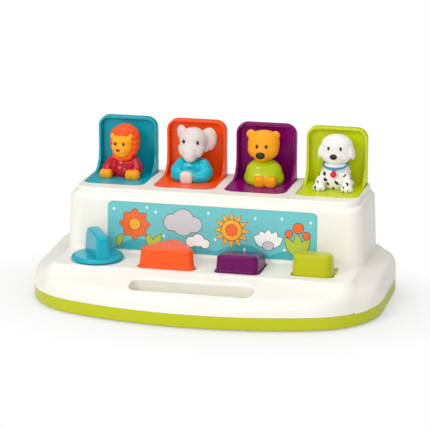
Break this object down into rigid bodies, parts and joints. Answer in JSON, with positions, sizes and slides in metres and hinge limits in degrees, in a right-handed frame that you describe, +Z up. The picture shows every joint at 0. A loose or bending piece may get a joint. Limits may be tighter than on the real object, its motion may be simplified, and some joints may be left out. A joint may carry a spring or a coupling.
{
  "type": "pop up animal toy",
  "caption": "Toddler activity toy whose sprung lids pop up with animal figures when a knob, push button, rocker key or sliding block lets them go.",
  "frame": {"origin": "middle of the footprint's bounding box, on the surface that the feet rest on", "axes": "+X to the right seen from the front, +Y to the back, +Z up"},
  "size_m": [0.34, 0.204, 0.1552],
  "materials": {
    "housing_white": "glossy",
    "tray_lime": "glossy",
    "teal": "glossy",
    "orange": "glossy",
    "purple": "glossy",
    "lime": "glossy",
    "crimson": "glossy",
    "mane_orange": "glossy",
    "shirt_blue": "glossy",
    "elephant_grey": "glossy",
    "amber": "glossy",
    "dog_white": "glossy",
    "collar_blue": "glossy",
    "label": "glossy",
    "ivory": "glossy",
    "steel": "bright drawn wire",
    "rubber": "matt"
  },
  "bodies": {
    "base": {"housing": "housing_white", "base_tray": "tray_lime", "feet": "rubber", "tray_screws": "steel", "label_panel": "label", "hinge_rod": "steel", "latch_rod": "steel", "rocker_pin": "steel", "button_spring": "steel", "key_spring": "steel", "lid_spring_teal": "steel", "lid_spring_orange": "steel", "lid_spring_purple": "steel", "lid_spring_lime": "steel", "latch_spring_teal": "steel", "latch_spring_orange": "steel", "latch_spring_purple": "steel", "latch_spring_lime": "steel"},
    "lid_teal": {"lid_teal": "teal", "lion_body": "crimson", "lion_head": "mane_orange"},
    "lid_orange": {"lid_orange": "orange", "elephant_body": "shirt_blue", "elephant_head": "elephant_grey"},
    "lid_purple": {"lid_purple": "purple", "bear_body": "lime", "bear_head": "amber"},
    "lid_lime": {"lid_lime": "lime", "dog_body": "dog_white", "dog_head": "dog_white", "dog_collar": "collar_blue"},
    "latch_teal": {"latch_teal": "ivory"},
    "latch_orange": {"latch_orange": "ivory"},
    "latch_purple": {"latch_purple": "ivory"},
    "latch_lime": {"latch_lime": "ivory"},
    "knob": {"knob": "teal", "knob_cam": "ivory", "knob_screw": "steel"},
    "button": {"triangle_button": "orange"},
    "key": {"rocker_key": "purple"},
    "slide": {"slide_block": "lime"}
  },
  "joints": [
    {"name": "lid_teal_hinge", "type": "hinge", "parent": "base", "child": "lid_teal", "pos_m": [-0.10575, 0.0872, 0.0952], "axis": [1, 0, 0], "range_deg": [0, 90], "stiffness_Nm_per_rad": 0.02, "springref_deg": -68.75, "deforming": ["lid_spring_teal"]},
    {"name": "lid_orange_hinge", "type": "hinge", "parent": "base", "child": "lid_orange", "pos_m": [-0.03525, 0.0872, 0.0952], "axis": [1, 0, 0], "range_deg": [0, 90], "stiffness_Nm_per_rad": 0.02, "springref_deg": -68.75, "deforming": ["lid_spring_orange"]},
    {"name": "lid_purple_hinge", "type": "hinge", "parent": "base", "child": "lid_purple", "pos_m": [0.03525, 0.0872, 0.0952], "axis": [1, 0, 0], "range_deg": [0, 90], "stiffness_Nm_per_rad": 0.02, "springref_deg": -68.75, "deforming": ["lid_spring_purple"]},
    {"name": "lid_lime_hinge", "type": "hinge", "parent": "base", "child": "lid_lime", "pos_m": [0.10575, 0.0872, 0.0952], "axis": [1, 0, 0], "range_deg": [0, 90], "stiffness_Nm_per_rad": 0.02, "springref_deg": -68.75, "deforming": ["lid_spring_lime"]},
    {"name": "latch_teal_pivot", "type": "hinge", "parent": "base", "child": "latch_teal", "pos_m": [-0.10575, 0.0155, 0.058], "axis": [1, 0, 0], "range_deg": [0, 5], "stiffness_Nm_per_rad": 0.06, "springref_deg": -8.59, "deforming": ["latch_spring_teal"]},
    {"name": "latch_orange_pivot", "type": "hinge", "parent": "base", "child": "latch_orange", "pos_m": [-0.03525, 0.0155, 0.058], "axis": [1, 0, 0], "range_deg": [0, 5.1], "stiffness_Nm_per_rad": 0.06, "springref_deg": -8.59, "deforming": ["latch_spring_orange"]},
    {"name": "latch_purple_pivot", "type": "hinge", "parent": "base", "child": "latch_purple", "pos_m": [0.03525, 0.0155, 0.058], "axis": [1, 0, 0], "range_deg": [0, 5], "stiffness_Nm_per_rad": 0.06, "springref_deg": -8.59, "deforming": ["latch_spring_purple"]},
    {"name": "latch_lime_pivot", "type": "hinge", "parent": "base", "child": "latch_lime", "pos_m": [0.10575, 0.0155, 0.058], "axis": [1, 0, 0], "range_deg": [0, 9.2], "stiffness_Nm_per_rad": 0.06, "springref_deg": -8.59, "deforming": ["latch_spring_lime"]},
    {"name": "knob_turn", "type": "hinge", "parent": "base", "child": "knob", "pos_m": [-0.10575, -0.025, 0.04], "axis": [0, 0, 1], "range_deg": [0, 40]},
    {"name": "button_push", "type": "slide", "parent": "base", "child": "button", "axis": [0, 0, -1], "range_m": [0, 0.005], "stiffness_N_per_m": 250, "springref_m": -0.006, "deforming": ["button_spring"]},
    {"name": "key_rock", "type": "hinge", "parent": "base", "child": "key", "pos_m": [0.03525, -0.007, 0.0345], "axis": [1, 0, 0], "range_deg": [0, 11.5], "stiffness_Nm_per_rad": 0.08, "springref_deg": -14.32, "deforming": ["key_spring"]},
    {"name": "slide_push", "type": "slide", "parent": "base", "child": "slide", "axis": [0, 1, 0], "range_m": [0, 0.006]}
  ],
  "couplings": [
    {"joint": "latch_teal_pivot", "follows": "knob_turn", "ratio": 0.12265},
    {"joint": "latch_orange_pivot", "follows": "button_push", "rad_per_m": 17.453},
    {"joint": "latch_purple_pivot", "follows": "key_rock", "ratio": 0.43043},
    {"joint": "latch_lime_pivot", "follows": "slide_push", "rad_per_m": 26.471}
  ]
}
